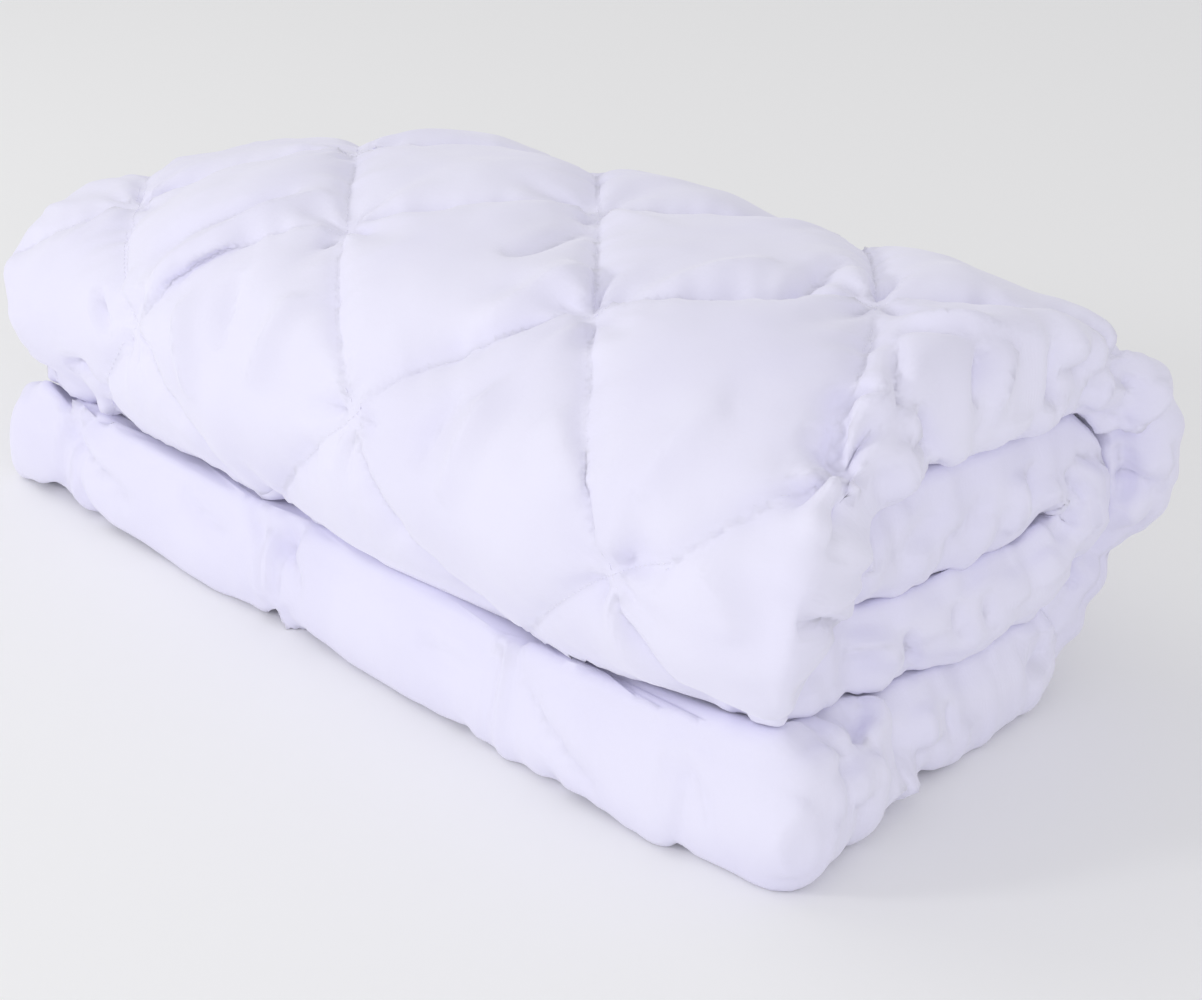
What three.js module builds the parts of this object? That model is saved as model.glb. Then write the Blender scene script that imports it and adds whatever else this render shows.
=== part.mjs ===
// A thick quilted duvet, folded over and rolled up into a flattened roll that lies on its side.
// It is one filled layer, wound from the core outward. X runs along the roll, Y from its front to
// its back, Z up. All sizes are in millimetres.
import * as THREE from "three";

// Quilting: sewn lines that cross in diamonds
const DIAMOND = 209; // from one crossing of the seams to the next, along the roll
const STEPS = 8; // mesh steps in one diamond
const SEAM_LEVEL = 14; // how far under the skin the length of the cloth is measured
const DOME = 0.5; // share of a panel's rise that is a soft dome, and the rest is a full pillow
const DOME_POWER = 2.4;
const PILLOW_POWER = 7;
const CROSSING = { x: 79, y: 5 }; // one crossing on the top of the roll
const QUILT_START = 1.75; // diamonds in front of that crossing where the open face begins
const QUILT_END = -2.75; // diamonds behind it, round under the roll, where the foot begins
const BEHIND = { from: -0.5, closer: 1.17 }; // past there the crossings lie this much closer
// Crossings near the right end that are pulled to the front
const PULLED = [
  { alongRoll: 1.5, across: 0.5, by: 0.24, reach: 0.4 },
  { alongRoll: 1.5, across: -0.5, by: 0.16, reach: 0.35 },
];

// Rounded edges of the layer
const CORE_EDGE = 28; // rounding of the edge that the winding starts from
const FOOT_EDGE = 26; // rounding of the edge that the winding ends in
const LEFT_END = 0.55; // rounding of the layer's ends, as a share of its half thickness
const RIGHT_END = 0.9;
const BLUNTNESS = 2.4; // 2 closes an edge like an ellipse, more closes it blunter
const DRAWN_IN = 0.6; // how far a seam draws an edge in, as a share of its groove
const EDGE_STEPS = 5; // mesh steps round an edge
const FOOT_STEPS = 3; // mesh steps from the last quilted step to the foot's edge
const END_GAP_STEPS = 1; // mesh steps from the last whole row to the rounding of an end

const FOOT_TOP = { from: 150, to: 60 }; // where the foot's upper face shows, back from its edge

// The winding at the right-hand end, from the core outward: the middle of the layer, half its
// thickness, how far its two ends reach along the roll, how far a seam lies under the crown of its
// panels where they show, and where its ends close, from 0 in the middle to 1 at the outer face
const WINDING = [
  { part: "core edge", y: -98, z: 141, half: 28, left: -326, right: 360, groove: 0, lean: 0 },
  { part: "core", y: -60, z: 143, half: 31, left: -328, right: 356, groove: 0, lean: 0 },
  { part: "core", y: 0, z: 145, half: 32, left: -330, right: 352, groove: 0, lean: 0 },
  { part: "core", y: 50, z: 147, half: 31, left: -330, right: 353, groove: 0, lean: 0 },
  { part: "inner turn", y: 86, z: 149, half: 27, left: -330, right: 355, groove: 0, lean: 0 },
  { part: "inner turn", y: 104, z: 131, half: 15, left: -328, right: 358, groove: 0, lean: 0 },
  { part: "inner turn", y: 104, z: 111, half: 15, left: -326, right: 360, groove: 0, lean: 0 },
  { part: "inner turn", y: 90, z: 96, half: 18, left: -325, right: 360, groove: 0, lean: 0 },
  { part: "under fold", y: 60, z: 87, half: 20, left: -324, right: 360, groove: 0, lean: 0 },
  { part: "under fold", y: 0, z: 86, half: 21, left: -319, right: 355, groove: 0, lean: 0.1 },
  { part: "under fold", y: -65, z: 87, half: 21, left: -313, right: 345, groove: 0, lean: 0.3 },
  { part: "front turn", y: -112, z: 93, half: 27, left: -309, right: 352, groove: 5, lean: 0.7 },
  { part: "front turn", y: -138, z: 125, half: 33, left: -309, right: 380, groove: 11, lean: 0.8 },
  { part: "front turn", y: -138, z: 166, half: 34, left: -327, right: 392, groove: 12, lean: 0.7 },
  { part: "front turn", y: -111, z: 199, half: 34, left: -342, right: 388, groove: 13, lean: 0.3 },
  { part: "top", y: -65, z: 217, half: 35, left: -346, right: 376, groove: 14, lean: -0.1 },
  { part: "top", y: 0, z: 219, half: 36, left: -342, right: 372, groove: 14, lean: -0.3 },
  { part: "top", y: 60, z: 215, half: 34, left: -336, right: 373, groove: 14, lean: -0.3 },
  { part: "back turn", y: 112, z: 199, half: 24, left: -321, right: 375, groove: 14, lean: -0.2 },
  { part: "back turn", y: 146, z: 165, half: 20, left: -323, right: 378, groove: 13, lean: -0.1 },
  { part: "back turn", y: 152, z: 122, half: 20, left: -324, right: 374, groove: 12, lean: 0 },
  { part: "back turn", y: 137, z: 70, half: 21, left: -325, right: 348, groove: 12, lean: 0 },
  { part: "bottom", y: 104, z: 36, half: 28, left: -328, right: 345, groove: 10, lean: 0 },
  { part: "bottom", y: 50, z: 27, half: 30, left: -334, right: 353, groove: 9, lean: 0 },
  { part: "bottom", y: -40, z: 27, half: 30, left: -337, right: 364, groove: 8, lean: 0 },
  { part: "foot", y: -115, z: 29, half: 32, left: -340, right: 384, groove: 7, lean: 0 },
  { part: "foot edge", y: -164, z: 36, half: 38, left: -338, right: 389, groove: 6, lean: 0 },
];

// The pile along the roll: its height, its reach to the front, at the foot and to the back, how high
// the foot's hump lifts it, how far the seam crossings have drifted along it, and how long a diamond
// is across it
const PILE = [
  { x: -360, top: 188, front: 148, foot: 156, back: 158, hump: 0, drift: -28, across: 182 },
  { x: -300, top: 204, front: 157, foot: 158, back: 162, hump: 0, drift: -22, across: 184 },
  { x: -200, top: 230, front: 169, foot: 161, back: 164, hump: 0, drift: -16, across: 189 },
  { x: -100, top: 252, front: 181, foot: 161, back: 169, hump: 0, drift: -8, across: 194 },
  { x: 0, top: 258, front: 186, foot: 162, back: 171, hump: 0, drift: -4, across: 198 },
  { x: 120, top: 259, front: 192, foot: 168, back: 173, hump: 0, drift: 0, across: 207 },
  { x: 240, top: 260, front: 196, foot: 172, back: 174, hump: 4, drift: 0, across: 214 },
  { x: 330, top: 258, front: 186, foot: 167, back: 175, hump: 12, drift: -8, across: 226 },
  { x: 375, top: 256, front: 172, foot: 160, back: 178, hump: 14, drift: -20, across: 232 },
];
// The sizes that the winding's own rows have, which the pile's rows are set against
const DRAWN_AT = { top: 256, front: 175, foot: 166, back: 170 };
const LOW_LAYER = 60; // thickness of the bottom layer, which the pile's height leaves as it is
const FOOT_TO_FRONT = { from: 50, to: 100 }; // heights between the foot's reach and the front's
const MIDDLE_BLEND = 12; // width of the change from the front's reach to the back's
const HUMP = { y: -105, wide: 48, full: 60, fadeFrom: 100, fadeTo: 200 }; // under the front's corner

const WHITE = 0xf4f3fb;

// Value of one column of a table at a place between its rows, as a smooth curve
function smooth(rows, by, key, at) {
  const last = rows.length - 1;
  const place = THREE.MathUtils.clamp(at, rows[0][by], rows[last][by]);
  let i = 0;
  while (i < last - 1 && place > rows[i + 1][by]) i++;
  const span = (k) => rows[k + 1][by] - rows[k][by];
  const rise = (k) => (rows[k + 1][key] - rows[k][key]) / span(k);
  const slope = (k) => {
    if (k === 0) return rise(0);
    if (k === last) return rise(last - 1);
    return (rise(k - 1) * span(k) + rise(k) * span(k - 1)) / (span(k - 1) + span(k));
  };
  const t = (place - rows[i][by]) / span(i);
  const start = (1 + 2 * t) * (1 - t) ** 2 * rows[i][key] + t * (1 - t) ** 2 * span(i) * slope(i);
  const end = t * t * (3 - 2 * t) * rows[i + 1][key] - t * t * (1 - t) * span(i) * slope(i + 1);
  return start + end;
}

// The winding's rows with their distance along it
const LAYER = [];
for (const row of WINDING) {
  const before = LAYER.at(-1);
  const along = before ? before.along + Math.hypot(row.y - before.y, row.z - before.z) : 0;
  LAYER.push({ ...row, along });
}
const LENGTH = LAYER.at(-1).along;
const startOf = (part) => LAYER.find((row) => row.part === part).along;

// The layer at a distance along the winding, with the direction out of its outer face
function layerAt(along) {
  const value = (key, at = along) => smooth(LAYER, "along", key, at);
  const dy = value("y", along + 1) - value("y", along - 1);
  const dz = value("z", along + 1) - value("z", along - 1);
  const size = Math.hypot(dy, dz);
  return {
    y: value("y"), z: value("z"), half: value("half"),
    left: value("left"), right: value("right"), groove: value("groove"), lean: value("lean"),
    outY: -dz / size, outZ: dy / size,
  };
}

// A point of the right-hand section moved to where the pile has it at a place along the roll
function onPile(x, y, z) {
  const value = (key) => smooth(PILE, "x", key, x);
  const spread = (value("top") - LOW_LAYER) / (DRAWN_AT.top - LOW_LAYER);
  const height = z > LOW_LAYER ? LOW_LAYER + (z - LOW_LAYER) * spread : z;
  const raised = THREE.MathUtils.smoothstep(z, FOOT_TO_FRONT.from, FOOT_TO_FRONT.to);
  const onHump = Math.exp(-(((y - HUMP.y) / HUMP.wide) ** 2)) * Math.min(Math.max(z / HUMP.full, 0), 1);
  const lift = value("hump") * onHump * (1 - THREE.MathUtils.smoothstep(z, HUMP.fadeFrom, HUMP.fadeTo));
  const foot = value("foot") / DRAWN_AT.foot;
  const front = foot + (value("front") / DRAWN_AT.front - foot) * raised;
  const behind = 1 / (1 + Math.exp(-y / MIDDLE_BLEND));
  const reach = front + (value("back") / DRAWN_AT.back - front) * behind;
  return new THREE.Vector3(x, y * reach, Math.max(height + lift, 0));
}

// Diamonds along the roll from the crossing on the top
const alongRoll = (x) => (x - CROSSING.x - smooth(PILE, "x", "drift", x)) / DIAMOND;

// The cloth measured across the roll at one place: diamonds in front of the crossing on the top
function clothAcross(x) {
  const marks = [];
  const step = LENGTH / 400;
  let length = 0;
  let before = null;
  for (let along = 0; along < LENGTH + step / 2; along += step) {
    const layer = layerAt(along);
    const skin = layer.half - SEAM_LEVEL;
    const point = onPile(x, layer.y + layer.outY * skin, layer.z + layer.outZ * skin);
    if (before) length += point.distanceTo(before);
    marks.push({ along, length, y: point.y });
    before = point;
  }
  const onTop = marks.filter((m) => m.along > startOf("top") && m.along < startOf("back turn"));
  const zero = onTop.find((m) => m.y >= CROSSING.y).length;
  const across = smooth(PILE, "x", "across", x);
  for (const mark of marks) {
    const even = (zero - mark.length) / across;
    const diamonds = even + Math.min(even - BEHIND.from, 0) * (BEHIND.closer - 1);
    mark.diamonds = diamonds;
    for (const spot of PULLED) {
      const off = Math.hypot(alongRoll(x) - spot.alongRoll, diamonds - spot.across - spot.by);
      mark.diamonds -= spot.by * Math.exp(-((off / spot.reach) ** 2));
    }
  }
  return marks;
}

// Reads one column of the marks at a value of another that rises or falls all the way
function read(marks, by, value, key) {
  const rising = marks.at(-1)[by] > marks[0][by];
  let i = 1;
  while (i < marks.length - 1 && (marks[i][by] < value) === rising) i++;
  const share = (value - marks[i - 1][by]) / (marks[i][by] - marks[i - 1][by]);
  return marks[i - 1][key] + share * (marks[i][key] - marks[i - 1][key]);
}

// How deep the groove is at a place in the diamonds, from 0 on a panel's crown to 1 on a seam
function groove(x, diamonds) {
  const along = alongRoll(x);
  const rise = (line) => {
    const off = Math.abs(line - Math.floor(line) - 0.5) * 2;
    return 1 - DOME * off ** DOME_POWER - (1 - DOME) * off ** PILLOW_POWER;
  };
  return 1 - rise(along - diamonds) * rise(along + diamonds);
}

const even = (count, from, to) =>
  Array.from({ length: count }, (_, k) => from + ((to - from) * (k + 1)) / (count + 1));
const edgeSteps = Array.from({ length: EDGE_STEPS + 1 }, (_, k) =>
  1 - Math.cos((k / EDGE_STEPS) * (Math.PI / 2)));

// Mesh columns of the part wound inside: at each row of the winding and half-way between them
const hiddenShares = LAYER.flatMap((row, k) => {
  const hidden = row.along > CORE_EDGE && row.along < startOf("front turn");
  return hidden ? [row.along, (row.along + LAYER[k + 1].along) / 2] : [];
}).map((along) => (along - CORE_EDGE) / (startOf("front turn") - CORE_EDGE));

// Distances along the winding of the mesh's columns at one place along the roll
function columnsAt(marks) {
  const seams = [];
  for (let k = QUILT_START * STEPS; k >= QUILT_END * STEPS; k--) {
    seams.push(read(marks, "diamonds", k / STEPS, "along"));
  }
  return [
    ...edgeSteps.map((d) => d * CORE_EDGE),
    ...hiddenShares.map((share) => CORE_EDGE + share * (seams[0] - CORE_EDGE)),
    ...seams,
    ...even(FOOT_STEPS, seams.at(-1), LENGTH - FOOT_EDGE),
    ...edgeSteps.map((d) => LENGTH - d * FOOT_EDGE).reverse(),
  ];
}

// The mesh's rows: whole rows follow the seam crossings, and the ends close round the layer
function rowsOfMesh() {
  const starts = LAYER.map((row) => row.left + LEFT_END * row.half);
  const ends = LAYER.map((row) => row.right - RIGHT_END * row.half);
  const first = Math.max(...starts);
  const last = Math.min(...ends);
  const whole = [];
  for (let x = CROSSING.x - 3 * DIAMOND; x < last; x += DIAMOND / STEPS) {
    const placed = x + smooth(PILE, "x", "drift", x);
    if (placed > first) whole.push(placed);
  }
  const [low, high] = [whole[0], whole.at(-1)];
  const leftEdge = (layer) => layer.left + LEFT_END * layer.half;
  const rightEdge = (layer) => layer.right - RIGHT_END * layer.half;
  const gap = even(END_GAP_STEPS, 0, 1);
  return [
    ...edgeSteps.map((d) => ({ at: low, x: (w) => w.left + d * LEFT_END * w.half })),
    ...gap.map((t) => ({ at: low, x: (w) => leftEdge(w) + t * (low - leftEdge(w)) })),
    ...whole.map((x) => ({ at: x, x: () => x })),
    ...gap.map((t) => ({ at: high, x: (w) => high + t * (rightEdge(w) - high) })),
    ...edgeSteps.map((d) => ({ at: high, x: (w) => w.right - d * RIGHT_END * w.half })).reverse(),
  ];
}

// Both faces of the layer at one row and column. Its edges are rounded, and so are its corners:
// near one, the square mesh is pressed into a quarter circle. A seam draws a face and an edge in.
function facesAt(row, along, marks) {
  const flat = layerAt(along);
  const wide = row.x(flat);
  const toRight = row.at > 0;
  const endRound = (toRight ? RIGHT_END : LEFT_END) * flat.half;
  const toFoot = along > LENGTH / 2;
  const edgeRound = toFoot ? FOOT_EDGE : CORE_EDGE;
  const intoEnd = Math.max(1 - (toRight ? flat.right - wide : wide - flat.left) / endRound, 0);
  const intoEdge = Math.max(1 - (toFoot ? LENGTH - along : along) / edgeRound, 0);
  const u = intoEnd * Math.sqrt(1 - intoEdge ** 2 / 2);
  const v = intoEdge * Math.sqrt(1 - intoEnd ** 2 / 2);
  const thick = Math.max(1 - Math.hypot(u, v) ** BLUNTNESS, 0) ** (1 / BLUNTNESS);

  const diamonds = read(marks, "along", along, "diamonds");
  const overFoot = 2 * marks.at(-1).diamonds - diamonds;
  const onFoot = THREE.MathUtils.smoothstep(along, LENGTH - FOOT_TOP.from, LENGTH - FOOT_TOP.to);
  const outer = flat.groove * groove(wide, diamonds);
  const inner = flat.groove * onFoot * groove(wide, overFoot);
  const back = intoEdge === 0 ? 0 : (v - intoEdge) * edgeRound - DRAWN_IN * outer * v ** 2;
  const layer = layerAt(along + (toFoot ? back : -back));
  const inward = intoEnd === 0 ? 0 : (intoEnd - u) * endRound + DRAWN_IN * outer * u ** 2;
  const x = toRight ? wide - inward : wide + inward;
  const closing = u === 0 ? 0 : (layer.lean * layer.half * (1 - thick) * u ** 2) / (u ** 2 + v ** 2);
  const face = (height) => {
    const offset = closing + height;
    return onPile(x, layer.y + layer.outY * offset, layer.z + layer.outZ * offset);
  };
  return {
    diamonds, x: wide,
    outer: face((layer.half - outer) * thick),
    inner: face(-(layer.half - inner) * thick),
  };
}

// The closed skin of the layer: an outer and an inner face that share their edges
function duvetSkin() {
  const rows = rowsOfMesh();
  const grid = rows.map((row) => {
    const marks = clothAcross(row.at);
    return columnsAt(marks).map((along) => facesAt(row, along, marks));
  });
  const [high, wide] = [grid.length, grid[0].length];
  const onEdge = (i, j) => i === 0 || j === 0 || i === high - 1 || j === wide - 1;
  const points = [];
  const number = { outer: [], inner: [] };
  for (const side of ["outer", "inner"]) {
    for (let i = 0; i < high; i++) {
      number[side].push([]);
      for (let j = 0; j < wide; j++) {
        const shared = side === "inner" && onEdge(i, j);
        number[side][i].push(shared ? number.outer[i][j] : points.push(grid[i][j][side]) - 1);
      }
    }
  }
  const triangles = [];
  for (const side of ["outer", "inner"]) {
    for (let i = 0; i + 1 < high; i++) {
      for (let j = 0; j + 1 < wide; j++) {
        const [a, b] = [number[side][i][j], number[side][i + 1][j]];
        const [c, d] = [number[side][i + 1][j + 1], number[side][i][j + 1]];
        const quad = side === "outer" ? [a, b, c, d] : [a, d, c, b];
        triangles.push(...splitQuad(quad, alongFallingSeam(grid, i, j, high, wide)));
      }
    }
  }
  const skin = new THREE.BufferGeometry().setFromPoints(points);
  skin.setIndex(triangles);
  skin.computeBoundingBox();
  const box = skin.boundingBox;
  skin.translate(-(box.min.x + box.max.x) / 2, -(box.min.y + box.max.y) / 2, -box.min.z);
  skin.computeVertexNormals();
  return skin;
}

// Two triangles of a quad, split from its first corner to its third or from its second to its last
function splitQuad([a, b, c, d], fromFirst) {
  return fromFirst ? [a, b, c, a, c, d] : [a, b, d, b, c, d];
}

// A quad is split along the seam that runs nearest to its middle
function alongFallingSeam(grid, i, j, high, wide) {
  const atCorner = (i === 0 || i === high - 2) && (j === 0 || j === wide - 2);
  if (atCorner) return (i === 0) === (j === 0);
  const x = (grid[i][j].x + grid[i + 1][j + 1].x) / 2;
  const diamonds = (grid[i][j].diamonds + grid[i + 1][j + 1].diamonds) / 2;
  const along = alongRoll(x);
  const off = (line) => Math.abs(line - Math.round(line));
  return off(along + diamonds) < off(along - diamonds);
}

const duvet = new THREE.Mesh(
  duvetSkin(),
  new THREE.MeshStandardMaterial({ name: "cover", color: WHITE, roughness: 0.9, metalness: 0 }),
);
duvet.name = "duvet";

const part = new THREE.Group();
part.name = "rolled_duvet";
part.add(duvet);
export default part;
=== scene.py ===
# %% [markdown]
# # A rolled duvet
# The real object is one thick quilted duvet. It is folded to the width of a shelf and rolled up
# from one end, so that its free end comes out at the front as a low foot. Here it is built the
# same way: a filled layer is wound in section, quilted in diamonds, and then creased.

# %% Load the frame
import math
import bpy
import numpy as np
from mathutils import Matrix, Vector, noise
from mathutils.bvhtree import BVHTree


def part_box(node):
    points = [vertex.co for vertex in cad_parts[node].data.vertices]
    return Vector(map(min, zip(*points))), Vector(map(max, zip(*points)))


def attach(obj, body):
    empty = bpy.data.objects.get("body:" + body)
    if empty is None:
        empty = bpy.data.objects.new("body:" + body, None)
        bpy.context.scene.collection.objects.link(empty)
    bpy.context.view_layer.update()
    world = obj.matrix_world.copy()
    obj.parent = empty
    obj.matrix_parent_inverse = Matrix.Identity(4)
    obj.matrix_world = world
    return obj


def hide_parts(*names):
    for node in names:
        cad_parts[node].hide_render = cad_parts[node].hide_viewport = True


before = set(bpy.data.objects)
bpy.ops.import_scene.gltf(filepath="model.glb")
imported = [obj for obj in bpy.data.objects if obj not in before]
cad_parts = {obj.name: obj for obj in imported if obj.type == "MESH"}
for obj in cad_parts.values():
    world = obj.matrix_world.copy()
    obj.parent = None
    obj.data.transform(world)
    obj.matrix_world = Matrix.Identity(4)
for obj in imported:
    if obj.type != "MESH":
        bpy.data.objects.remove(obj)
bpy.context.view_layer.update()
MM = 0.001

# %% [markdown]
# ## The camera
# The photograph looks down on the roll from the front right with a long lens, so the far end is
# only a little smaller than the near one. The place and the two angles were worked out from the
# roll's outline and its seam crossings, and are given in the frame's metres.

# %% Camera
VIEW = {"place": (1.040, -0.9175, 0.675), "turn": 46.5, "down": 24.13, "lens": 74.9}


def add_camera(view):
    lens = bpy.data.cameras.new("photo_view")
    lens.lens = view["lens"]
    lens.sensor_width = 36
    camera = bpy.data.objects.new("photo_view", lens)
    camera.location = view["place"]
    camera.rotation_euler = (math.radians(90 - view["down"]), 0, math.radians(view["turn"]))
    bpy.context.scene.collection.objects.link(camera)
    return camera


scene = bpy.context.scene
scene.camera = add_camera(VIEW)
print("camera at", tuple(scene.camera.location))

# %% [markdown]
# ## The floor
# The roll lies on a plain pale floor, far wider than what the photograph shows of the ground.

# %% Floor
FLOOR_SIZE = 12.0
FLOOR_WHITE = (0.93, 0.93, 0.94, 1)


def plain_material(name, colour, roughness):
    material = bpy.data.materials.new(name)
    material.use_nodes = True
    shader = material.node_tree.nodes["Principled BSDF"]
    shader.inputs["Base Color"].default_value = colour
    shader.inputs["Roughness"].default_value = roughness
    return material


def add_floor(size):
    bpy.ops.mesh.primitive_plane_add(size=size, location=(0, 0, 0))
    floor = bpy.context.object
    floor.name = "studio_floor"
    floor.data.materials.append(plain_material("pale_floor", FLOOR_WHITE, 0.9))
    return floor


floor = add_floor(FLOOR_SIZE)
print("floor", tuple(floor.dimensions))

# %% [markdown]
# ## Light
# A white cloth on a white ground is all soft light. A bright even sky does most of the work, as a
# studio's white walls do. A small lamp at the front left gives the roll its shape, and two wide
# ones soften its right-hand end and its top, which stay a little darker than the front.

# %% Light
SKY = {"colour": (1.0, 1.0, 1.0, 1), "strength": 0.69}
LAMPS = [
    {"name": "front_lamp", "place": (-1.3, -2.5, 1.15), "size": 0.5, "power": 16},
    {"name": "end_lamp", "place": (2.3, -1.8, 1.0), "size": 1.6, "power": 13},
    {"name": "top_lamp", "place": (-1.6, -0.6, 2.2), "size": 1.6, "power": 7},
]
LAMP_AIM = Vector((0, 0, 0.12))


def add_sky(sky):
    world = bpy.data.worlds.new("white_room")
    world.use_nodes = True
    background = world.node_tree.nodes["Background"]
    background.inputs["Color"].default_value = sky["colour"]
    background.inputs["Strength"].default_value = sky["strength"]
    bpy.context.scene.world = world


def add_lamp(lamp):
    data = bpy.data.lights.new(lamp["name"], "AREA")
    data.size = lamp["size"]
    data.energy = lamp["power"]
    light = bpy.data.objects.new(lamp["name"], data)
    light.location = lamp["place"]
    light.rotation_euler = (LAMP_AIM - light.location).to_track_quat("-Z", "Y").to_euler()
    bpy.context.scene.collection.objects.link(light)


add_sky(SKY)
for lamp in LAMPS:
    add_lamp(lamp)
scene.view_settings.view_transform = "Standard"
print(len(LAMPS), "lamps")

# %% [markdown]
# ## The winding in section
# Seen from its right-hand end the duvet is one thick layer wound from a core outward: back along
# the top of the core, round behind it, forward under it, up over the front, back along the top,
# down behind, and forward again to the foot. Each row gives the middle of the layer there, half
# its thickness, how far its two ends reach and how deep its seams lie, in millimetres.
# Much of the table came from a search that fitted the roll to the photograph.

# %% Winding
WINDING_TABLE = """
part        y     z    half  left  right  groove  lean
core_edge   -98   141  28    -326  360    0       0
core        -60   143  31    -328  356    0       0
core        0     145  32    -330  352    0       0
core        50    147  31    -330  353    0       0
inner_turn  86    149  27    -330  355    0       0
inner_turn  104   131  15    -328  358    0       0
inner_turn  104   111  15    -326  360    0       0
inner_turn  90    96   18    -325  360    0       0
under_fold  60    87   20    -324  360    0       0
under_fold  0     86   21    -319  355    0       0.1
under_fold  -65   87   21    -313  345    0       0.3
front_turn  -112  93   27    -309  352    5       0.7
front_turn  -138  125  33    -309  380    11      0.8
front_turn  -138  166  34    -327  392    12      0.7
front_turn  -111  199  34    -342  388    13      0.3
top         -65   217  35    -346  376    14      -0.1
top         0     219  36    -342  372    14      -0.3
top         60    215  34    -336  373    14      -0.3
back_turn   112   199  24    -321  370    14      -0.2
back_turn   146   165  20    -323  368    13      -0.1
back_turn   152   122  20    -324  366    12      0
back_turn   137   70   21    -325  348    12      0
bottom      104   36   28    -328  345    10      0
bottom      50    27   30    -334  353    9       0
bottom      -40   27   30    -337  364    8       0
foot        -115  29   32    -340  384    7       0
foot_edge   -164  36   38    -338  389    6       0
"""


def table_columns(text):
    head, *rows = [line.split() for line in text.strip().splitlines()]
    columns = {name: [row[k] for row in rows] for k, name in enumerate(head)}
    return {name: cells if name == "part" else np.array(cells, float) for name, cells in columns.items()}


def smooth(columns, by, key, at):
    """Values of one column at places between its rows, as a smooth curve."""
    place = columns[by]
    value = columns[key]
    span = np.diff(place)
    rise = np.diff(value) / span
    between = (rise[:-1] * span[1:] + rise[1:] * span[:-1]) / (span[:-1] + span[1:])
    slope = np.concatenate([rise[:1], between, rise[-1:]])
    at = np.clip(at, place[0], place[-1])
    k = np.clip(np.searchsorted(place, at, side="right") - 1, 0, len(span) - 1)
    t = (at - place[k]) / span[k]
    start = (1 + 2 * t) * (1 - t) ** 2 * value[k] + t * (1 - t) ** 2 * span[k] * slope[k]
    end = t * t * (3 - 2 * t) * value[k + 1] - t * t * (1 - t) * span[k] * slope[k + 1]
    return start + end


WINDING = table_columns(WINDING_TABLE)
steps = np.hypot(np.diff(WINDING["y"]), np.diff(WINDING["z"]))
WINDING["along"] = np.concatenate([[0], np.cumsum(steps)])
LENGTH = WINDING["along"][-1]


def start_of(part):
    return WINDING["along"][WINDING["part"].index(part)]


def layer_at(along):
    """The layer's section at distances along the winding, with the direction out of its outer face."""
    layer = {key: smooth(WINDING, "along", key, along) for key in WINDING if key not in ("part", "along")}
    dy = smooth(WINDING, "along", "y", along + 1) - smooth(WINDING, "along", "y", along - 1)
    dz = smooth(WINDING, "along", "z", along + 1) - smooth(WINDING, "along", "z", along - 1)
    layer["out_y"] = -dz / np.hypot(dy, dz)
    layer["out_z"] = dy / np.hypot(dy, dz)
    return layer


print("the winding is", round(LENGTH), "mm long in section")

# %% [markdown]
# ## The pile along the roll
# The roll isn't the same all along. It is tallest past the middle and slumps towards the far left
# end, and its front bulges most near the right. A second short table gives the pile's height and
# its reach to the front, foot and back at places along it, and every point of the section is
# scaled to them. The bottom layer keeps its own thickness, because it lies flat on the floor.
# Most of this table came from the same search.

# %% Pile
PILE_TABLE = """
x     top  front  foot  back  hump  drift  across
-360  188  148    156   158   0     -28    182
-300  204  157    158   162   0     -22    184
-200  230  169    161   164   0     -16    189
-100  252  181    161   169   0     -8     194
0     258  186    162   171   0     -4     198
120   259  192    168   173   0     0      207
240   260  196    172   174   4     0      214
330   258  186    167   175   12    -8     226
375   256  172    160   178   14    -20    232
"""
DRAWN_AT = {"top": 256, "front": 175, "foot": 166, "back": 170}
LOW_LAYER = 60
FOOT_TO_FRONT = (50, 100)
MIDDLE_BLEND = 12
HUMP = {"y": -105, "wide": 48, "full": 60, "fades": (100, 200)}

PILE = table_columns(PILE_TABLE)


def smoothstep(low, high, value):
    t = np.clip((value - low) / (high - low), 0, 1)
    return t * t * (3 - 2 * t)


def on_pile(x, y, z):
    """Points of the right-hand section moved to where the pile has them at places along the roll."""
    value = {key: smooth(PILE, "x", key, x) for key in (*DRAWN_AT, "hump")}
    spread = (value["top"] - LOW_LAYER) / (DRAWN_AT["top"] - LOW_LAYER)
    height = np.where(z > LOW_LAYER, LOW_LAYER + (z - LOW_LAYER) * spread, z)
    on_hump = np.exp(-(((y - HUMP["y"]) / HUMP["wide"]) ** 2)) * np.clip(z / HUMP["full"], 0, 1)
    height = height + value["hump"] * on_hump * (1 - smoothstep(*HUMP["fades"], z))
    foot = value["foot"] / DRAWN_AT["foot"]
    front = foot + (value["front"] / DRAWN_AT["front"] - foot) * smoothstep(*FOOT_TO_FRONT, z)
    behind = 1 / (1 + np.exp(-y / MIDDLE_BLEND))
    reach = front + (value["back"] / DRAWN_AT["back"] - front) * behind
    return np.stack([x + 0 * y, y * reach, np.maximum(height, 0)], axis=-1)


print("the pile has", len(PILE["x"]), "places along it")

# %% [markdown]
# ## The quilting as a chart of the cloth
# Quilting belongs to the cloth, not to the roll: its lines were sewn while the duvet lay flat. So
# every place gets two cloth coordinates, counted in diamonds: how far it is along the roll, and
# how far it is in front of one crossing on the top, measured over the cloth's own surface. The
# sewn lines are then simply the places where the sum or the difference of the two is whole.

# %% Cloth chart
DIAMOND = 209
CROSSING = {"x": 79, "y": 5}
QUILT_START = 1.75
QUILT_END = -2.75
BEHIND = {"from": -0.5, "closer": 1.17}
PULLED = (
    {"along_roll": 1.5, "across": 0.5, "by": 0.24, "reach": 0.4},
    {"along_roll": 1.5, "across": -0.5, "by": 0.16, "reach": 0.35},
)
SEAM_LEVEL = 14
CHART_STEPS = 400


def along_roll(x):
    """Diamonds along the roll from the crossing on the top."""
    return (x - CROSSING["x"] - smooth(PILE, "x", "drift", x)) / DIAMOND


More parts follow.
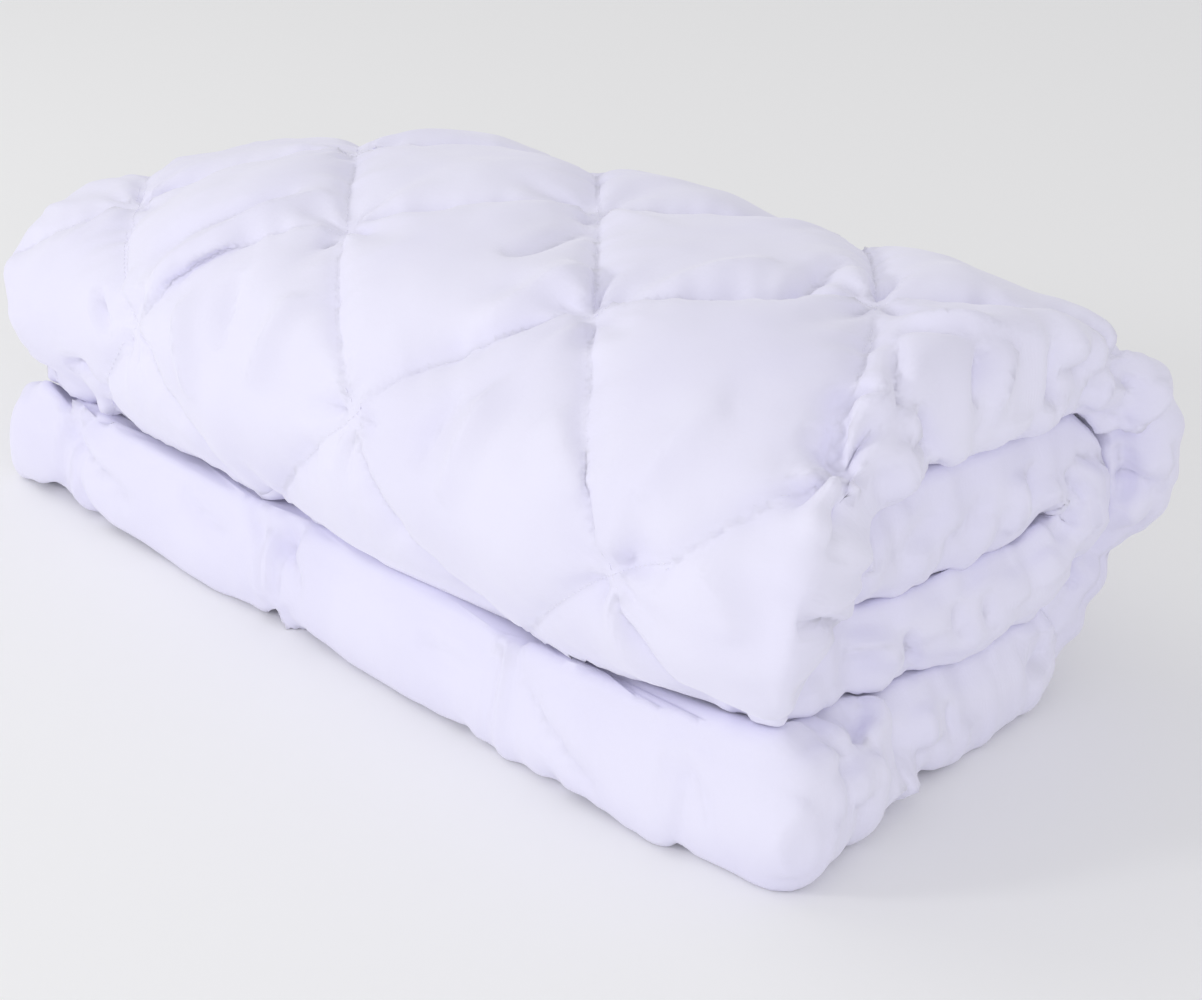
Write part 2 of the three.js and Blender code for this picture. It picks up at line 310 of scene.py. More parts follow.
def cloth_marks(x):
    """Distances along the winding at one place along the roll, and their diamonds."""
    along = np.linspace(0, LENGTH, CHART_STEPS + 1)
    layer = layer_at(along)
    skin = layer["half"] - SEAM_LEVEL
    points = on_pile(x, layer["y"] + layer["out_y"] * skin, layer["z"] + layer["out_z"] * skin)
    length = np.concatenate([[0], np.cumsum(np.linalg.norm(np.diff(points, axis=0), axis=1))])
    on_top = (along > start_of("top")) & (along < start_of("back_turn")) & (points[:, 1] >= CROSSING["y"])
    diamonds = (length[on_top][0] - length) / smooth(PILE, "x", "across", x)
    diamonds += np.minimum(diamonds - BEHIND["from"], 0) * (BEHIND["closer"] - 1)
    pull = 0
    for spot in PULLED:
        off = np.hypot(along_roll(x) - spot["along_roll"], diamonds - spot["across"] - spot["by"])
        pull = pull + spot["by"] * np.exp(-((off / spot["reach"]) ** 2))
    return along, diamonds - pull


marks_along, marks_diamonds = cloth_marks(0)
print("diamonds from the core to the foot:", marks_diamonds[[0, -1]].round(2))

# %% [markdown]
# ## A mesh that follows the sewn lines
# A crease that cuts across mesh squares looks ragged. So the mesh is laid out in the cloth's own
# coordinates: its rows and columns cross on the sewn lines, and the lines run along the squares'
# diagonals. The wound-in part that nobody sees has wider columns, which are thinned later.

# %% Rows and columns
STEPS = 60
EDGE_STEPS = 14
FOOT_STEPS = 10
HIDDEN_STEPS = 100
END_GAP_STEPS = 8
CORE_EDGE = 28
FOOT_EDGE = 26
LEFT_END = 0.55
RIGHT_END = 0.9

edge_share = 1 - np.cos(np.linspace(0, math.pi / 2, EDGE_STEPS + 1))


def columns_at(marks):
    """Distances along the winding of the mesh's columns at one place along the roll."""
    along, diamonds = marks
    lines = np.arange(QUILT_START * STEPS, QUILT_END * STEPS - 1, -1) / STEPS
    seams = np.interp(-lines, -diamonds, along)
    hidden = np.linspace(CORE_EDGE, seams[0], HIDDEN_STEPS + 2)[1:-1]
    foot = np.linspace(seams[-1], LENGTH - FOOT_EDGE, FOOT_STEPS + 2)[1:-1]
    foot_edge = (LENGTH - edge_share * FOOT_EDGE)[::-1]
    return np.concatenate([edge_share * CORE_EDGE, hidden, seams, foot, foot_edge])


def mesh_rows():
    """Each row's place for its columns, and a function that gives its own x on a layer."""
    starts = WINDING["left"] + LEFT_END * WINDING["half"]
    ends = WINDING["right"] - RIGHT_END * WINDING["half"]
    even = CROSSING["x"] + np.arange(-3 * STEPS, 2 * STEPS) * DIAMOND / STEPS
    even = even + smooth(PILE, "x", "drift", even)
    whole = even[(even > starts.max()) & (even < ends.min())]
    low, high = whole[0], whole[-1]
    gap = np.linspace(0, 1, END_GAP_STEPS + 2)[1:-1]
    left = [(low, lambda w, d=d: w["left"] + d * LEFT_END * w["half"]) for d in edge_share]
    left += [(low, lambda w, t=t: (1 - t) * (w["left"] + LEFT_END * w["half"]) + t * low) for t in gap]
    right = [(high, lambda w, t=t: (1 - t) * high + t * (w["right"] - RIGHT_END * w["half"])) for t in gap]
    right += [(high, lambda w, d=d: w["right"] - d * RIGHT_END * w["half"]) for d in edge_share[::-1]]
    return left + [(x, lambda w, x=x: x + 0 * w["half"]) for x in whole] + right


ROWS = mesh_rows()
print(len(ROWS), "rows of", len(columns_at(cloth_marks(0))), "columns")

# %% [markdown]
# ## Panels that puff up between the lines
# Filling pushes each panel out, and the thread holds it in at its four sides. The rise is highest
# in the middle, stays full for most of the way and falls steeply to the seam. At the duvet's own
# edges the two faces close round the filling, and every seam that reaches an edge draws it in.

# %% Faces of the layer
DOME = 0.5
DOME_POWER = 2.4
CREASE_POWER = 9
BLUNTNESS = 2.4
DRAWN_IN = 0.6
FOOT_TOP = (150, 60)


def panel_rise(across_lines):
    off = np.abs(across_lines - np.floor(across_lines) - 0.5) * 2
    return 1 - DOME * off ** DOME_POWER - (1 - DOME) * off ** CREASE_POWER


def seam_depth(a, q):
    """0 on the crown of a panel and 1 on its seams, at cloth coordinates."""
    return 1 - panel_rise(a - q) * panel_rise(a + q)


def faces_at(row, along, marks):
    """Both faces of the layer along one row, and the cloth coordinates of each."""
    at, x_of = row
    flat = layer_at(along)
    wide = x_of(flat)
    to_right = at > 0
    end_round = (RIGHT_END if to_right else LEFT_END) * flat["half"]
    to_foot = along > LENGTH / 2
    edge_round = np.where(to_foot, FOOT_EDGE, CORE_EDGE)
    into_end = np.maximum(1 - (flat["right"] - wide if to_right else wide - flat["left"]) / end_round, 0)
    into_edge = np.maximum(1 - np.where(to_foot, LENGTH - along, along) / edge_round, 0)
    u = into_end * np.sqrt(1 - into_edge ** 2 / 2)
    v = into_edge * np.sqrt(1 - into_end ** 2 / 2)
    thick = np.maximum(1 - np.hypot(u, v) ** BLUNTNESS, 0) ** (1 / BLUNTNESS)

    q = np.interp(along, *marks)
    q_over = 2 * marks[1][-1] - q
    a = along_roll(wide)
    on_foot = smoothstep(LENGTH - FOOT_TOP[0], LENGTH - FOOT_TOP[1], along)
    outer = flat["groove"] * seam_depth(a, q)
    inner = flat["groove"] * on_foot * seam_depth(a, q_over)
    back = np.where(into_edge == 0, 0, (v - into_edge) * edge_round - DRAWN_IN * outer * v ** 2)
    layer = layer_at(along + np.where(to_foot, back, -back))
    inward = np.where(into_end == 0, 0, (into_end - u) * end_round + DRAWN_IN * outer * u ** 2)
    x = wide - inward if to_right else wide + inward
    close = layer["lean"] * layer["half"] * (1 - thick) * u ** 2 / (u ** 2 + v ** 2 + 1e-9)
    faces = {}
    for side, offset in (
        ("outer", close + (layer["half"] - outer) * thick),
        ("inner", close - (layer["half"] - inner) * thick),
    ):
        faces[side] = on_pile(x, layer["y"] + layer["out_y"] * offset, layer["z"] + layer["out_z"] * offset)
    from_end = np.minimum(flat["right"] - wide, wide - flat["left"])
    faces["outer_chart"] = np.stack([a, q, from_end], axis=-1)
    faces["inner_chart"] = np.stack([a, q_over, from_end], axis=-1)
    return faces


def wound_layer():
    faces = []
    for row in ROWS:
        marks = cloth_marks(row[0])
        faces.append(faces_at(row, columns_at(marks), marks))
    return {key: np.array([face[key] for face in faces]) for key in faces[0]}


layer_grid = wound_layer()
print("grid of", layer_grid["outer"].shape[:2], "points on each face")

# %% [markdown]
# ## One closed skin
# The two faces share the points of their outer edge, so the skin is closed. It is moved to where
# the frame has the duvet: the frame's origin is the middle of its outline, on the floor.

# %% Skin
def grid_squares(number):
    """The squares of a grid of numbered points, one row for each."""
    corners = [number[:-1, :-1], number[1:, :-1], number[1:, 1:], number[:-1, 1:]]
    return np.stack(corners, axis=-1).reshape(-1, 4)


def skin_mesh(grid):
    """Points and squares of the closed skin, with the cloth coordinates of each point."""
    high, wide = grid["outer"].shape[:2]
    outer = np.arange(high * wide).reshape(high, wide)
    inner = outer.copy()
    inner[1:-1, 1:-1] = high * wide + np.arange((high - 2) * (wide - 2)).reshape(high - 2, wide - 2)
    points = np.concatenate([grid["outer"].reshape(-1, 3), grid["inner"][1:-1, 1:-1].reshape(-1, 3)])
    outer_chart = grid["outer_chart"].reshape(-1, 3)
    inner_chart = grid["inner_chart"][1:-1, 1:-1].reshape(-1, 3)
    chart = np.concatenate([outer_chart, inner_chart])
    squares = []
    for number, turn in ((outer, 1), (inner, -1)):
        square = grid_squares(number)
        squares.append(square[:, [0, 3, 2, 1]] if turn < 0 else square)
    return points, chart, np.concatenate(squares)


def to_frame(points):
    """Millimetres of the winding to metres of the frame, centred on the frame's own solid."""
    low, high = (np.array(corner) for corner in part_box("duvet"))
    points = points * MM
    middle = (points.min(axis=0) + points.max(axis=0)) / 2
    shift = (low + high) / 2 - middle
    return points + np.array([shift[0], shift[1], 0])


def map_cloth(mesh, grid):
    """Lays the flat cloth's own coordinates, in metres, on the mesh for its weave."""
    high, wide = grid["outer"].shape[:2]
    square = grid_squares(np.arange(high * wide).reshape(high, wide))
    flat = []
    for side, order in (("outer", [0, 1, 2, 3]), ("inner", [0, 3, 2, 1])):
        cloth = grid[side + "_chart"].reshape(-1, 3)[:, :2] * DIAMOND * MM
        flat.append(cloth[square[:, order]].reshape(-1, 2))
    layer = mesh.uv_layers.new(name="cloth")
    layer.data.foreach_set("uv", np.concatenate(flat).ravel())


points, chart, squares = skin_mesh(layer_grid)
points = to_frame(points)
mesh = bpy.data.meshes.new("duvet_cloth")
mesh.from_pydata(points.tolist(), [], squares.tolist())
duvet = bpy.data.objects.new("duvet_cloth", mesh)
scene.collection.objects.link(duvet)
map_cloth(mesh, layer_grid)
mesh.shade_smooth()
print(len(points), "points,", len(squares), "squares")

# %% [markdown]
# ## Turns that press on each other
# Wound loosely, the turns would show dark slots between them. In the real roll the filling
# spreads until it touches the next turn. Here each point looks along its own normal: where it
# faces another turn closer than a finger's width, it moves half of the way there, and its
# neighbours follow more and more gently.

# %% Contact
SLOT = 0.058
CLEARANCE = 0.0002
CONTACT_PASSES = 6
CONTACT_SMOOTHING = 4
NEAR_PASSES = 3


def mesh_edges(mesh):
    pairs = np.empty(len(mesh.edges) * 2, int)
    mesh.edges.foreach_get("vertices", pairs)
    return pairs.reshape(-1, 2)


def mesh_points(mesh):
    points = np.empty(len(mesh.vertices) * 3)
    mesh.vertices.foreach_get("co", points)
    return points.reshape(-1, 3)


def mesh_normals(mesh):
    normals = np.empty(len(mesh.vertices) * 3, np.float32)
    mesh.vertex_normals.foreach_get("vector", normals)
    return normals.reshape(-1, 3).astype(float)


def averaged(values, pairs, passes):
    """Values spread over the mesh, each pass halfway to the mean of the neighbours."""
    count = np.bincount(pairs.ravel(), minlength=len(values))
    for _ in range(passes):
        total = np.bincount(pairs[:, 0], values[pairs[:, 1]], len(values))
        total += np.bincount(pairs[:, 1], values[pairs[:, 0]], len(values))
        values = 0.5 * values + 0.5 * total / count
    return values


def room_ahead(mesh, reach):
    """How far each point can go along its normal before it meets another turn, up to reach."""
    points = mesh_points(mesh)
    normals = mesh_normals(mesh)
    polygons = [tuple(face.vertices) for face in mesh.polygons]
    tree = BVHTree.FromPolygons([Vector(p) for p in points], polygons)
    room = np.full(len(points), reach)
    for k, (point, normal) in enumerate(zip(points, normals)):
        start = Vector(point + normal * CLEARANCE)
        _, face_normal, _, distance = tree.ray_cast(start, Vector(normal), reach)
        if distance is not None and face_normal.dot(Vector(normal)) < 0:
            room[k] = distance
    return room, points, normals


def press_together(mesh):
    room, points, normals = room_ahead(mesh, SLOT)
    pairs = mesh_edges(mesh)
    half_way = np.maximum(room / 2 - CLEARANCE, 0)
    wanted = half_way * (1 - smoothstep(SLOT / 2, SLOT, room))
    move = np.minimum(averaged(wanted, pairs, CONTACT_PASSES), half_way)
    points = points + normals * move[:, None]
    near = np.clip(averaged((wanted > 0).astype(float), pairs, NEAR_PASSES), 0, 1)[:, None]
    for _ in range(CONTACT_SMOOTHING):
        soft = np.stack([averaged(points[:, k], pairs, 1) for k in range(3)], axis=-1)
        points = points + near * (soft - points)
    points[:, 2] = np.maximum(points[:, 2], 0)
    mesh.vertices.foreach_set("co", points.ravel())
    mesh.update()
    return (wanted > 0).mean()


print("share of points that touch another turn:", round(press_together(mesh), 2))

# %% [markdown]
# ## Gathers that come from the sewing
# Thread holds the cloth in at every crossing, so short folds run out from each crossing and small
# puckers sit along each seam. At the duvet's ends the hem gathers the cloth. Every one of these
# comes from seeded noise in the cloth's own coordinates, so that no two panels are alike, and the
# filling's own unevenness is added as a very slow change.

# %% Gathers
SIDE = 148
STAR = {"deep": 10.4, "near": 4, "full": 22, "fades": 55, "folds": 1.8, "ends": (0.25, 0.5)}
PUCKER = {"deep": 2.0, "long": 11, "wide": 15, "turns": 45}
HEM = {"deep": 4.2, "long": 24, "fine": 0.3, "finer": 2.3, "changes": 0.09, "reach": 34}
UNEVEN = {"deep": 3.0, "size": 85}
WRINKLE = {"deep": 1.0, "size": 30}
SEED = 11.3
NOISE_GAIN = 1.6
CROSSING_SEEDS = (3.7, 5.9)
LINE_SEED = 7.3
HEM_SEED = 4


def noise_at(places):
    """Soft noise between about -1 and 1 at each place."""
    return np.array([noise.noise(Vector(place)) for place in places]) * NOISE_GAIN


def stacked(*columns):
    return np.stack(np.broadcast_arrays(*columns), axis=-1)


def gathers(chart, points):
    """Height in millimetres of the sewing's folds at each point of the skin."""
    p = chart[:, 0] - chart[:, 1]
    r = chart[:, 0] + chart[:, 1]
    off_p = p - np.round(p)
    off_r = r - np.round(r)
    east = (off_p + off_r) * SIDE
    north = (off_r - off_p) * SIDE
    away = np.hypot(east, north) + 1e-6
    turn = stacked(east / away, north / away) * STAR["folds"]
    name = np.round(p) * CROSSING_SEEDS[0] + np.round(r) * CROSSING_SEEDS[1] + SEED
    rays = noise_at(stacked(turn[:, 0], turn[:, 1], name))
    edge = 1 - smoothstep(*STAR["ends"], np.maximum(abs(off_p), abs(off_r)))
    star = rays * smoothstep(STAR["near"], STAR["full"], away) * np.exp(-away / STAR["fades"]) * edge

    pucker = 0
    for off, line, other in ((off_p, np.round(p), r), (off_r, np.round(r), p)):
        over = off * SIDE / PUCKER["turns"] + line * LINE_SEED
        beside = stacked(other * SIDE / PUCKER["long"], over, SEED)
        pucker = pucker + noise_at(beside) * np.exp(-abs(off) * SIDE / PUCKER["wide"])

    inward = points[:, 0] / HEM["changes"]
    hem_place = stacked(chart[:, 1] * DIAMOND / HEM["long"], inward, SEED + HEM_SEED)
    hem = noise_at(hem_place) + HEM["fine"] * noise_at(hem_place * HEM["finer"] + SEED)
    hem = hem * np.exp(-np.maximum(chart[:, 2], 0) / HEM["reach"])
    uneven = noise_at(points / (UNEVEN["size"] * MM) + SEED)
    wrinkle = noise_at(points / (WRINKLE["size"] * MM) + SEED)
    return (STAR["deep"] * star + PUCKER["deep"] * pucker + HEM["deep"] * hem
            + UNEVEN["deep"] * uneven + WRINKLE["deep"] * wrinkle)


gathered = gathers(chart, points)
print("gathers from", gathered.min().round(1), "to", gathered.max().round(1), "mm")

# %% [markdown]
# ## The main creases
# The photograph shows creases that only this duvet has: pockets where the front corner is drawn
# in, a slit under the top's right seam, lobes and pleats on the ends of the turns, and long soft
# folds over the panels. They are drawn in three flat views, in the frame's millimetres: the right
# end as y,z, the front as x,z and the top as x,y. Each row gives a crease's start, bend and end,
# its half width, and how deep it is. A depth below zero is a ridge. Most places were looked up on
# the roll from the photograph by a program and then rounded to 5 mm.

# %% Creases
END_CREASES = """
name             start     bend      end       wide  deep
tip_fold         55,235    55,215    55,195    10    4
tip_lobe         60,235    70,230    80,220    14    -5
tip_line         60,220    75,215    90,210    8     4
tip_ridge        110,205   105,195   100,185   12    -5
tip_hollow       95,210    90,200    85,190    10    4
far_ridge        150,190   145,180   135,170   12    -5
far_hollow       135,195   130,185   125,175   12    4
seam_edge        -60,235   -60,225   -55,215   10    -5
seam_side        -50,230   -45,215   -35,195   10    5
slit             10,245    -5,235    -10,220   8     6
slit_edge        25,240    10,230    5,215     10    -5
pocket           -80,235   -100,225  -110,215  10    6
pocket_lobe      -70,220   -70,205   -70,190   12    -6
corner_rim       -125,215  -115,210  -105,205  10    -5
edge_turn        -115,210  -125,200  -135,185  12    5
core_ridge_left  50,160    50,145    45,130    12    -6
core_hollow_left 65,160    65,145    60,130    10    5
core_ridge_mid   80,150    85,140    100,120   12    -5
core_hollow_mid  95,150    100,140   110,125   10    4
core_edge        140,155   145,135   145,115   8     5
core_slit        105,155   120,150   145,140   8     4
core_soft_left   -40,140   -20,150   0,160     16    3
core_soft_mid    10,135    20,145    30,155    14    3
wrap_crease      140,130   150,130   160,125   8     5
wrap_lobe        145,120   150,110   155,100   14    -4
wrap_spot        105,95    115,85    130,65    9     5
turn_arc         -155,155  -130,150  -80,110   8     5
fold_ridge       -65,95    -50,95    -30,85    10    -5
fold_crease      -25,95    -20,80    -10,60    8     6
fold_pleat_left  10,100    10,90     15,75     9     4
fold_pleat_right 30,100    30,90     35,80     9     4
fold_lobe        75,50     90,50     105,45    15    -5
low_ridge        -40,60    -55,60    -70,60    12    -5
low_lobe         -20,50    -20,40    -20,30    15    -5
low_slit         5,45      5,35      5,25      8     4
low_front_lobe   -65,30    -45,20    -25,15    12    -5
foot_soft        -120,60   -100,60   -80,55    12    3
foot_facet       -135,55   -145,35   -140,15   14    -4
"""
FRONT_CREASES = """
name             start     bend      end       wide  deep
left_a           -105,190  -90,175   -85,145   14    -4.5
left_b           -30,170   -20,195   -20,215   16    -4.5
left_c           -60,180   -65,200   -75,215   16    3.5
left_rise        -195,170  -135,200  -100,220  16    -4.5
left_end_a       -215,170  -205,160  -190,150  10    6
left_end_b       -265,100  -245,110  -225,115  12    8
middle_a         150,160   160,195   155,215   18    -4.5
middle_b         125,170   130,190   135,210   16    3.5
middle_c         200,215   220,200   240,185   18    -3.5
middle_d         275,195   280,215   290,235   20    -3.5
low_front        315,175   330,165   340,145   16    -3.5
foot_seam_a      -285,60   -250,45   -195,35   12    4
foot_seam_b      -55,60    -40,50    -20,35    12    4
foot_seam_c      175,55    200,35    240,20    13    4
foot_soft_a      90,50     110,45    135,45    14    3
foot_soft_b      -145,60   -120,50   -90,45    14    3
foot_soft_c      280,50    300,45    310,25    14    3
"""
TOP_CREASES = """
name             start     bend      end       wide  deep
left_ridge       -150,-140 -110,-115 -90,-65   16    -4.5
left_hollow      -175,-135 -135,-110 -105,-75  14    3.5
middle_ridge     110,-130  125,-100  130,-60   18    -4.5
middle_hollow    80,-80    85,-50    75,-10    14    4.5
right_ridge      175,-70   190,-40   205,0     16    -3.5
right_hollow     245,-40   230,0     220,40    14    6
seam_to_tip      290,-5    325,5     345,55    14    -4
under_seam       305,-20   330,0     345,40    12    3.5
seam_down        305,-25   335,-55   350,-65   10    5
pocket_arc       320,-85   330,-75   340,-75   9     4
corner_left      325,-110  335,-110  350,-110  10    4
"""
CREASE_VIEWS = {
    "end": {"drawn": END_CREASES, "flat": [1, 2], "toward": (1, 0, 0), "beyond": 0.285},
    "front": {"drawn": FRONT_CREASES, "flat": [0, 2], "toward": (0, -1, 0), "beyond": 0.1},
    "top": {"drawn": TOP_CREASES, "flat": [0, 1], "toward": (0, 0, 1), "beyond": 0.19},
}
FULL_FACING = 0.5
TROUGH_POWER = 1.8
RIDGE_POWER = 1.35
TAPER_POWER = 0.5
CREASE_STRENGTH = 1.8


def read_creases(text):
    creases = []
    for line in text.strip().splitlines()[1:]:
        name, start, bend, end, wide, deep = line.split()
        corners = [np.array(corner.split(","), float) for corner in (start, bend, end)]
        creases.append({"name": name, "corners": corners, "wide": float(wide), "deep": float(deep)})
    return creases


def off_curve(places, corners, steps=12):
    """Distance of each place from a curve through three corners, and its share along the curve."""
    t = np.linspace(0, 1, steps + 1)[:, None]
    start, bend, end = corners
    through = 2 * bend - (start + end) / 2
    curve = (1 - t) ** 2 * start + 2 * t * (1 - t) * through + t * t * end
    away = np.full(len(places), np.inf)
    share = np.zeros(len(places))
    for k in range(steps):
        step = curve[k + 1] - curve[k]
        along = np.clip((places - curve[k]) @ step / (step @ step), 0, 1)
        gap = np.linalg.norm(places - curve[k] - along[:, None] * step, axis=1)
        nearer = gap < away
        away[nearer] = gap[nearer]
        share[nearer] = (k + along[nearer]) / steps
    return away, share


def creased(points, normals, view):
    """Height in millimetres of one view's creases at each point of the skin."""
    height = np.zeros(len(points))
    facing = normals @ np.array(view["toward"], float)
    outer = points @ np.array(view["toward"], float) > view["beyond"]
    seen = np.flatnonzero(outer & (facing > 0))
    places = points[seen][:, view["flat"]] / MM
    slant = np.clip(facing[seen] / FULL_FACING, 0, 1)
    for crease in view["creases"]:
        away, share = off_curve(places, crease["corners"])
        taper = np.clip(np.sin(math.pi * share), 0, 1) ** TAPER_POWER
        across = np.clip(1 - away / crease["wide"], 0, 1)
        shape = across ** (TROUGH_POWER if crease["deep"] > 0 else RIDGE_POWER)
        height[seen] -= crease["deep"] * shape * taper * slant
    return height


for view in CREASE_VIEWS.values():
    view["creases"] = read_creases(view["drawn"])
room, points, normals = room_ahead(mesh, SLOT)
drawn = sum(creased(points, normals, view) for view in CREASE_VIEWS.values())
height = (gathered + CREASE_STRENGTH * drawn) * MM
height = np.minimum(height, np.maximum(room / 2 - CLEARANCE, 0))
points = points + normals * height[:, None]
points[:, 2] = np.maximum(points[:, 2], 0)
mesh.vertices.foreach_set("co", points.ravel())
mesh.update()
crease_count = sum(len(view["creases"]) for view in CREASE_VIEWS.values())
print(crease_count, "creases; heights", (height.min() / MM).round(1), "to", (height.max() / MM).round(1))

# %% [markdown]
# ## Stitches along the seams
# The quilting is a lock stitch of white thread: a short raised stitch, a gap as long where the
# thread dips through the cloth, and so on. The mesh steps along the seams by about one stitch, so
# each stitch is a small pointed thread from one mesh point of a seam to just past halfway to the
# next one. They are made only where the cloth is open to view.

# %% Stitches
THREAD = {"radius": 0.35, "share": 0.62, "above": 0.1, "sides": 5}
THREAD_WHITE = (0.86, 0.85, 0.97, 1)
ON_SEAM = 0.012
OPEN_ROOM = 0.006
FROM_END = 28
ABOVE_FLOOR = 0.006
FROM_QUILT_START = 0.1


def stitch_ends(points, normals, chart, open_to_view):
    """Start and end of every stitch, with the way out of the cloth there."""
    high, wide = layer_grid["outer"].shape[:2]
    number = np.arange(high * wide).reshape(high, wide)
    ends = []
    for shift in (1, -1):
        line = chart[:, 0] - shift * chart[:, 1]
        here = number[:-1, 1:-1]
        there = number[1:, 1 - shift : wide - 1 - shift]
        on_seam = (abs(line[here] - np.round(line[here])) < ON_SEAM) & (
            abs(line[there] - np.round(line[here])) < ON_SEAM
        )
        good = on_seam & open_to_view[here] & open_to_view[there]
        ends.append(np.stack([here[good], there[good]], axis=-1))
    ends = np.concatenate(ends)
    start = points[ends[:, 0]]
    out = normals[ends].mean(axis=1)
    out /= np.linalg.norm(out, axis=1)[:, None]
    return start, start + (points[ends[:, 1]] - start) * THREAD["share"], out


def thread_mesh(start, end, out):
    """One pointed thread for each stitch: a tip, two rings and a tip."""
    sides = THREAD["sides"]
    along = end - start
    beside = np.cross(along, out)
    beside /= np.linalg.norm(beside, axis=1)[:, None]
    lift = out * THREAD["above"] * MM
    turn = np.arange(sides) * math.tau / sides
    rings = []
    for share in (0.25, 0.75):
        centre = start + along * share + lift
        round_it = beside[:, None] * np.cos(turn)[None, :, None]
        round_it = round_it + out[:, None] * np.sin(turn)[None, :, None]
        rings.append(centre[:, None] + round_it * THREAD["radius"] * MM)
    points = np.concatenate([start[:, None], rings[0], rings[1], end[:, None]], axis=1)
    one = 2 * sides + 2
    near, far = np.arange(sides) + 1, np.arange(sides) + 1 + sides
    faces = []
    for k in range(sides):
        n = (k + 1) % sides
        faces += [(0, near[n], near[k]), (near[k], near[n], far[n]), (near[k], far[n], far[k])]
        faces.append((far[k], far[n], one - 1))
    every = (np.array(faces)[None] + one * np.arange(len(start))[:, None, None]).reshape(-1, 3)
    return points.reshape(-1, 3), every


mesh.update()
quilted = (chart[:, 1] < QUILT_START - FROM_QUILT_START) & (chart[:, 1] > QUILT_END)
quilted &= (chart[:, 2] > FROM_END) & (room > OPEN_ROOM) & (points[:, 2] > ABOVE_FLOOR)
stitches = stitch_ends(points, mesh_normals(mesh), chart, quilted)
thread_points, thread_faces = thread_mesh(*stitches)
thread = bpy.data.meshes.new("quilting_thread")
thread.from_pydata(thread_points.tolist(), [], thread_faces.tolist())
thread.shade_smooth()
thread.materials.append(plain_material("white_thread", THREAD_WHITE, 0.6))
quilting_thread = bpy.data.objects.new("quilting_thread", thread)
scene.collection.objects.link(quilting_thread)
print(len(stitches[0]), "stitches,", len(thread_faces), "triangles")

# %% [markdown]
# ## Fewer squares where nobody looks
# Most of the faces that lie pressed between two turns are never seen. They are thinned well away
# from the ends, so the mesh stays light and the seen cloth keeps every crease.

# %% Thinning
SEEN_DEEP = 70
PRESSED = 0.015
KEPT_SHARE = 0.5


def thin_hidden(duvet, hidden, kept):
    group = duvet.vertex_groups.new(name="hidden")
    group.add(np.flatnonzero(hidden).tolist(), 1.0, "REPLACE")
    thinning = duvet.modifiers.new("thinning", "DECIMATE")
    thinning.ratio = kept
    thinning.vertex_group = group.name
    graph = bpy.context.evaluated_depsgraph_get()
    thinned = bpy.data.meshes.new_from_object(duvet.evaluated_get(graph))
    duvet.modifiers.clear()
    duvet.vertex_groups.clear()
    old = duvet.data
    duvet.data = thinned
    bpy.data.meshes.remove(old)
    thinned.name = "duvet_cloth"


hidden = (room < PRESSED) & (chart[:, 2] > SEEN_DEEP)
thin_hidden(duvet, hidden, KEPT_SHARE)
mesh = duvet.data
mesh.calc_loop_triangles()
print(hidden.mean().round(2), "of the points are hidden;", len(mesh.loop_triangles), "triangles are left")

# %% [markdown]
# ## The cover cloth
# The cover is brushed microfibre: a very fine plain weave with a soft nap. It is white with a
# faint lilac cast, matt, and the nap catches light at grazing angles as a soft sheen. The weave
# is too fine to draw, so it is bump in the flat cloth's own coordinates, with a slow, slight
# change of colour as the filling shows through.

# %% Cover cloth
CLOTH = {
    "pale": (0.83, 0.815, 0.968, 1), "shaded": (0.79, 0.772, 0.945, 1),
    "rough": 0.82, "sheen": 0.35, "sheen_rough": 0.45,
}
WEAVE = {"threads": 900, "strength": 0.10, "deep": 0.0002}
CRUMPLE = {"size": 45, "strength": 0.22, "deep": 0.0016}
TINT_SIZE = 9


def add_node(tree, kind, **values):
    node = tree.nodes.new(kind)
    for key, value in values.items():
        node.inputs[key.replace("_", " ")].default_value = value
    return node


def thread_bands(tree, cloth, direction):
    bands = add_node(tree, "ShaderNodeTexWave", Scale=WEAVE["threads"] / math.tau, Distortion=0.6)
    bands.bands_direction = direction
    tree.links.new(cloth.outputs["UV"], bands.inputs["Vector"])
    return bands


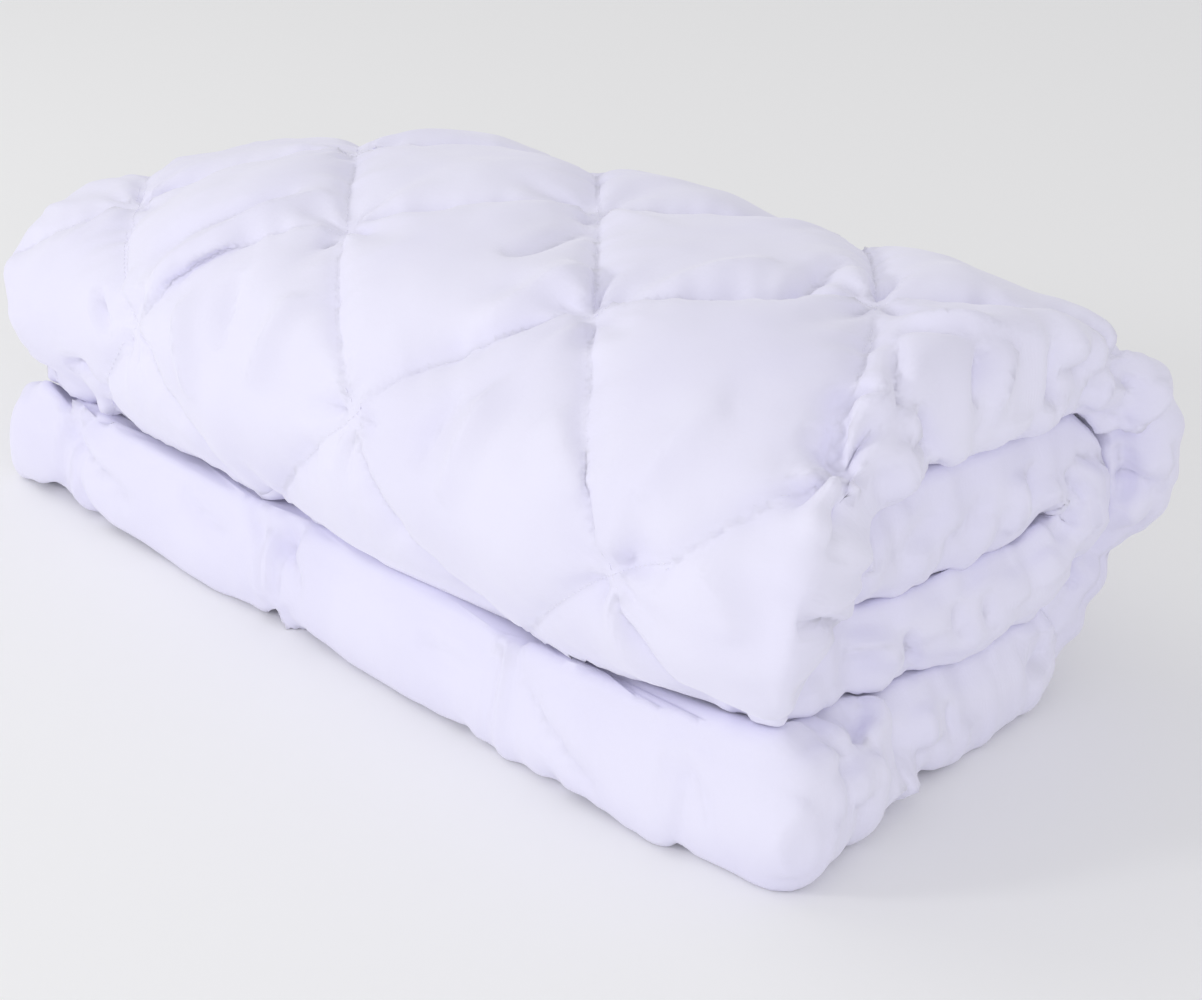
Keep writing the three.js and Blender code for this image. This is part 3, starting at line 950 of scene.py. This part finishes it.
def cover_material():
    material = plain_material("cover_cloth", CLOTH["pale"], CLOTH["rough"])
    tree = material.node_tree
    shader = tree.nodes["Principled BSDF"]
    shader.inputs["Sheen Weight"].default_value = CLOTH["sheen"]
    shader.inputs["Sheen Roughness"].default_value = CLOTH["sheen_rough"]
    place = tree.nodes.new("ShaderNodeTexCoord")
    cloth = tree.nodes.new("ShaderNodeUVMap")
    cloth.uv_map = "cloth"

    tint = add_node(tree, "ShaderNodeTexNoise", Scale=TINT_SIZE, Detail=3.0)
    tree.links.new(place.outputs["Object"], tint.inputs["Vector"])
    shades = tree.nodes.new("ShaderNodeValToRGB")
    shades.color_ramp.elements[0].color = CLOTH["shaded"]
    shades.color_ramp.elements[0].position = 0.3
    shades.color_ramp.elements[1].color = CLOTH["pale"]
    shades.color_ramp.elements[1].position = 0.6
    tree.links.new(tint.outputs["Fac"], shades.inputs["Fac"])
    tree.links.new(shades.outputs["Color"], shader.inputs["Base Color"])

    crumple = add_node(tree, "ShaderNodeTexNoise", Scale=CRUMPLE["size"], Detail=4.0, Roughness=0.55)
    tree.links.new(place.outputs["Object"], crumple.inputs["Vector"])
    soft = add_node(tree, "ShaderNodeBump", Strength=CRUMPLE["strength"], Distance=CRUMPLE["deep"])
    tree.links.new(crumple.outputs["Fac"], soft.inputs["Height"])
    threads = tree.nodes.new("ShaderNodeMath")
    threads.operation = "MULTIPLY"
    for slot, direction in enumerate(("X", "Y")):
        tree.links.new(thread_bands(tree, cloth, direction).outputs["Fac"], threads.inputs[slot])
    weave = add_node(tree, "ShaderNodeBump", Strength=WEAVE["strength"], Distance=WEAVE["deep"])
    tree.links.new(threads.outputs["Value"], weave.inputs["Height"])
    tree.links.new(soft.outputs["Normal"], weave.inputs["Normal"])
    tree.links.new(weave.outputs["Normal"], shader.inputs["Normal"])
    return material


mesh.materials.clear()
mesh.materials.append(cover_material())
print("cover cloth has", len(mesh.materials[0].node_tree.nodes), "nodes")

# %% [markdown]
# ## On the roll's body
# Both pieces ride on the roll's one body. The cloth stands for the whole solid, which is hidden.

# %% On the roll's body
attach(duvet, "root")
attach(quilting_thread, "root")
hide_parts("duvet")
